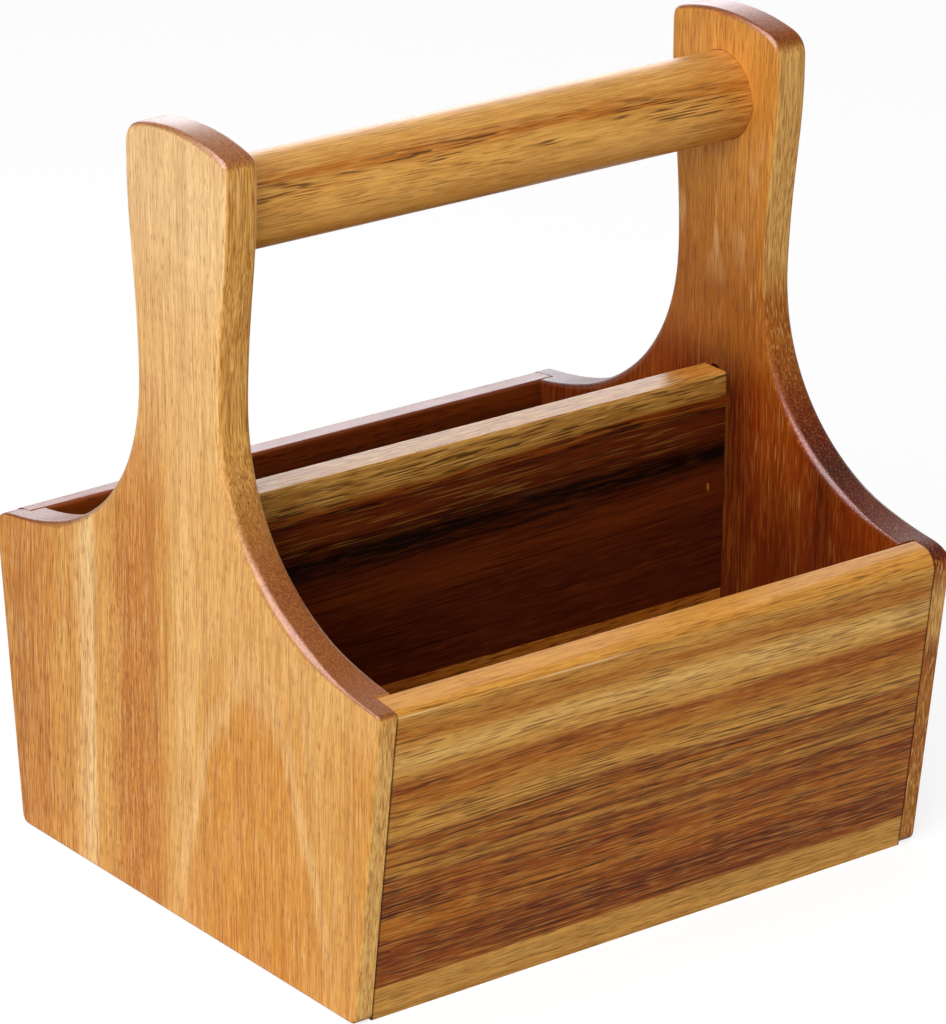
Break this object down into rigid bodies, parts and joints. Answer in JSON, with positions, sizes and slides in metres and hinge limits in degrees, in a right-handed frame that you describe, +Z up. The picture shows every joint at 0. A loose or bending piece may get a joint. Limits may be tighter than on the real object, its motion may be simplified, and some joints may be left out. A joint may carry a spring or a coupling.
{
  "type": "condiment crate",
  "caption": "Open wooden table crate with shaped end boards, leaning sides, a lengthwise divider and a round carrying rod between the necks.",
  "frame": {"origin": "middle of the underside, on the surface that the crate stands on", "axes": "+X along the handle towards the right end board, +Y from the front to the rear, +Z up"},
  "size_m": [0.217, 0.1994, 0.25],
  "materials": {
    "end_board": "oiled hardwood, honey tan, vertical grain, satin",
    "side_striped": "oiled hardwood, golden and dark brown stripes along the length, satin",
    "pale_strip": "oiled pale sapwood, satin",
    "divider_dark": "oiled hardwood, dark red-brown with a pale sapwood rim, satin",
    "base_board": "oiled hardwood, mid brown, satin",
    "handle": "oiled hardwood rod, golden with short dark flecks, satin",
    "dowel": "plain pale dowel, unfinished"
  },
  "bodies": {
    "root": {"left_end_wide_stave": "end_board", "left_end_narrow_stave": "end_board", "right_end_wide_stave": "end_board", "right_end_narrow_stave": "end_board", "front_upper_stave": "side_striped", "front_lower_stave": "pale_strip", "rear_upper_stave": "side_striped", "rear_lower_stave": "pale_strip", "divider_upper_stave": "divider_dark", "divider_lower_stave": "divider_dark", "base_front_stave": "base_board", "base_middle_stave": "base_board", "base_rear_stave": "base_board", "handle_rod": "handle", "dowel_left_front_lower": "dowel", "dowel_left_rear_lower": "dowel", "dowel_right_front_lower": "dowel", "dowel_right_rear_lower": "dowel", "dowel_left_front_upper": "dowel", "dowel_left_rear_upper": "dowel", "dowel_right_front_upper": "dowel", "dowel_right_rear_upper": "dowel"}
  },
  "joints": []
}
